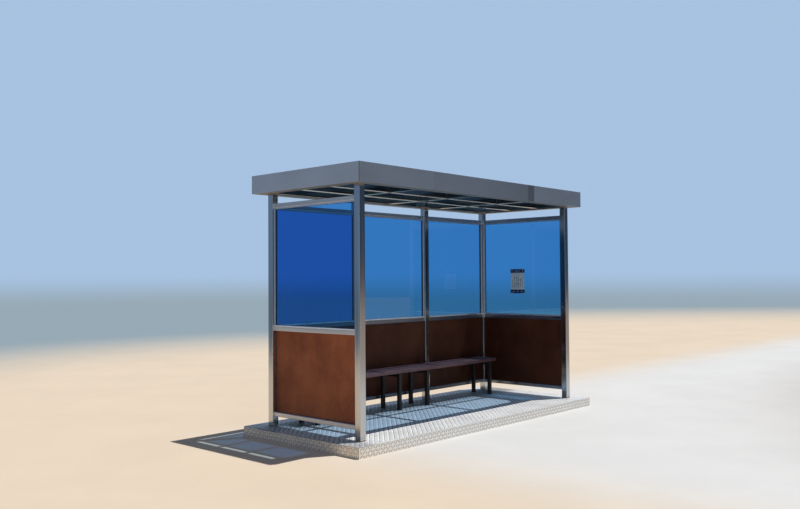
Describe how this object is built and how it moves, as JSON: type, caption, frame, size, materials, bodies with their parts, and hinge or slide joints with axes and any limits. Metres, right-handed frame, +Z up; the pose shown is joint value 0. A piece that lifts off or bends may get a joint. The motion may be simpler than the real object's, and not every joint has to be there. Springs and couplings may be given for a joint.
{
  "type": "bus shelter",
  "caption": "Open-fronted bus shelter: stainless posts on a tread-plate platform, tinted glass over brown panels on its walls, flat roof with a folded fascia, bench along the back.",
  "frame": {"origin": "on the ground at the centre of the posts' footprint, under the middle of the platform", "axes": "+Z up, +X along the back wall, +Y from the open front to the back wall"},
  "size_m": [3.898, 1.61, 2.575],
  "materials": {
    "tread_plate": "bright raised tread pattern",
    "galvanised_steel": "dull grey",
    "stainless_post": "polished, rust-stained at the joints",
    "stainless_rail": "polished",
    "stainless_channel": "satin",
    "stainless_beam": "polished",
    "stainless_fascia": "brushed, with faint vertical streaks",
    "tinted_glass": "clear blue tint",
    "rust_brown_plate": "matt, mottled rust brown",
    "roof_sheet": "translucent pale blue",
    "bench_slat": "dark stain, weathered",
    "bench_frame": "satin black"
  },
  "bodies": {
    "root": {"deck_plate": "tread_plate", "skirts_long": "tread_plate", "skirts_end": "tread_plate", "bearers_long": "galvanised_steel", "bearers_cross": "galvanised_steel", "post_front_left": "stainless_post", "post_front_right": "stainless_post", "post_back_left": "stainless_post", "post_back_mid_left": "stainless_post", "post_back_mid_right": "stainless_post", "post_back_right": "stainless_post", "rails_left": "stainless_rail", "rails_right": "stainless_rail", "rails_back_top": "stainless_rail", "rails_back_middle": "stainless_rail", "rails_back_bottom": "stainless_rail", "channels_left": "stainless_channel", "channels_right": "stainless_channel", "channels_back_left": "stainless_channel", "channels_back_middle": "stainless_channel", "channels_back_right": "stainless_channel", "glass_left": "tinted_glass", "glass_right": "tinted_glass", "glass_back_left": "tinted_glass", "glass_back_middle": "tinted_glass", "glass_back_right": "tinted_glass", "panel_left": "rust_brown_plate", "panel_right": "rust_brown_plate", "panel_back_left": "rust_brown_plate", "panel_back_middle": "rust_brown_plate", "panel_back_right": "rust_brown_plate", "ring_beams_long": "stainless_beam", "ring_beams_cross": "stainless_beam", "lattice_bars_long": "stainless_beam", "lattice_bars_cross": "stainless_beam", "fascia_front": "stainless_fascia", "fascia_back": "stainless_fascia", "fascia_left": "stainless_fascia", "fascia_right": "stainless_fascia", "fascia_brackets": "stainless_beam", "roof_sheet": "roof_sheet", "bench_slats": "bench_slat", "bench_heads": "bench_frame", "bench_head_caps": "bench_frame", "bench_legs": "bench_frame"}
  },
  "joints": []
}
